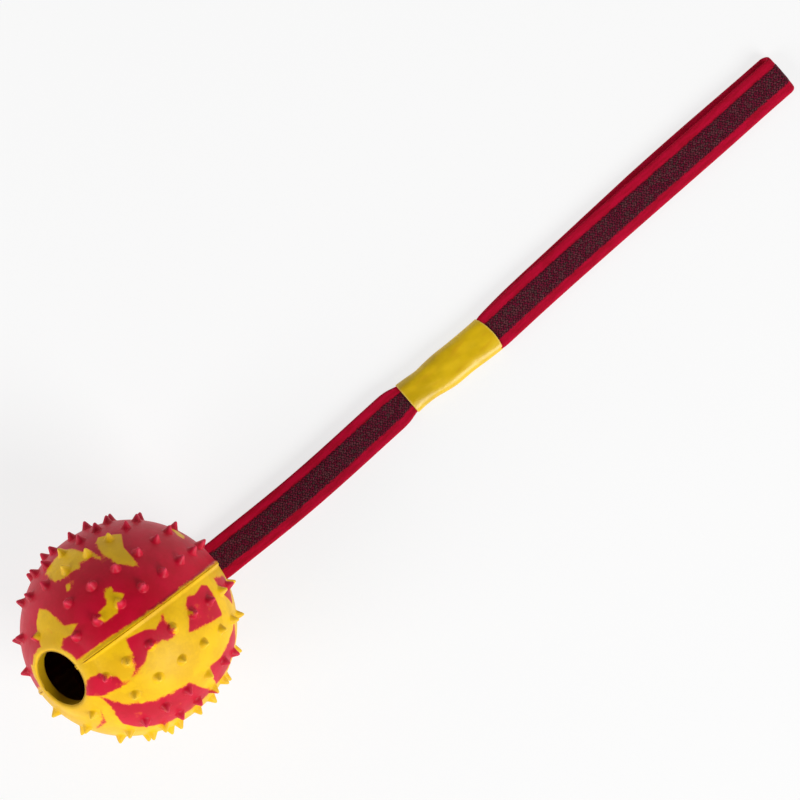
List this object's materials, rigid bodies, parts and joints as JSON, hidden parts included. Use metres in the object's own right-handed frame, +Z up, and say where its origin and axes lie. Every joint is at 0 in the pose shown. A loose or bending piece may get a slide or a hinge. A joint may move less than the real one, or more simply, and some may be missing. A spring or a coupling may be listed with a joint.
{
  "type": "dog throw ball",
  "caption": "Hollow spiked rubber ball with a round mouth hole, on a doubled strap of rubberised webbing with a shrunk-on sleeve and a hand loop.",
  "frame": {"origin": "centre of the bounding box's bottom, on the surface that the ball and the strap lie on", "axes": "+X along the strap from the ball to the end of the hand loop, +Y across the strap, +Z up"},
  "size_m": [0.3496, 0.0798, 0.0786],
  "materials": {
    "red_rubber": "satin moulded rubber, marbled red and yellow",
    "yellow_rubber": "satin moulded rubber, marbled yellow and red",
    "webbing": "woven red webbing with a dark band of rubber threads",
    "yellow_sleeve": "glossy shrunk-on film",
    "black_washer": "moulded"
  },
  "bodies": {
    "ball": {"ball_shell_left": "red_rubber", "ball_shell_right": "yellow_rubber"},
    "anchor": {"stop_washer": "black_washer", "strap_tail_over": "webbing", "strap_tail_under": "webbing"},
    "lead": {"strap_lead_over": "webbing", "strap_lead_under": "webbing"},
    "keeper": {"keeper_sleeve": "yellow_sleeve", "strap_in_sleeve": "webbing"},
    "loop_under_near": {"loop_under_near": "webbing"},
    "loop_under_far": {"loop_under_far": "webbing"},
    "loop_end_fold": {"loop_end_fold": "webbing"},
    "loop_over_far": {"loop_over_far": "webbing"},
    "loop_over_near": {"loop_over_near": "webbing"}
  },
  "joints": [
    {"name": "ball_swivel", "type": "hinge", "parent": "ball", "child": "anchor", "pos_m": [-0.13483, 0, 0.03913], "axis": [0.6355, -0.05, -0.7705], "range_deg": [-180, 180]},
    {"name": "strap_swing", "type": "hinge", "parent": "anchor", "child": "lead", "pos_m": [-0.10499, -0.00235, 0.00295], "axis": [0.0785, 0.9969, 0], "range_deg": [-44.6, 145.4]},
    {"name": "keeper_bend", "type": "hinge", "parent": "lead", "child": "keeper", "pos_m": [-0.01419, -0.00295, 0.00295], "axis": [0, 1, 0], "range_deg": [-80, 80]},
    {"name": "loop_open", "type": "hinge", "parent": "keeper", "child": "loop_over_near", "pos_m": [0.03241, -0.0046, 0.0041], "axis": [0, -1, 0], "range_deg": [0, 40]},
    {"name": "loop_over_middle", "type": "hinge", "parent": "loop_over_near", "child": "loop_over_far", "pos_m": [0.09611, -0.0033, 0.0041], "axis": [0, -1, 0], "range_deg": [-80, 0]},
    {"name": "loop_fold_over", "type": "hinge", "parent": "loop_over_far", "child": "loop_end_fold", "pos_m": [0.15981, -0.0026, 0.0041], "axis": [0, -1, 0], "range_deg": [0, 40]},
    {"name": "loop_fold_under", "type": "hinge", "parent": "loop_end_fold", "child": "loop_under_far", "pos_m": [0.15981, -0.0007, 0.0018], "axis": [0, -1, 0], "range_deg": [0, 40]},
    {"name": "loop_under_middle", "type": "hinge", "parent": "loop_under_far", "child": "loop_under_near", "pos_m": [0.09611, -0.0015, 0.0018], "axis": [0, -1, 0], "range_deg": [-80, 0]}
  ],
  "couplings": [
    {"joint": "loop_over_middle", "follows": "loop_open", "ratio": -2},
    {"joint": "loop_fold_over", "follows": "loop_open", "ratio": 1},
    {"joint": "loop_fold_under", "follows": "loop_open", "ratio": 1},
    {"joint": "loop_under_middle", "follows": "loop_open", "ratio": -2}
  ]
}
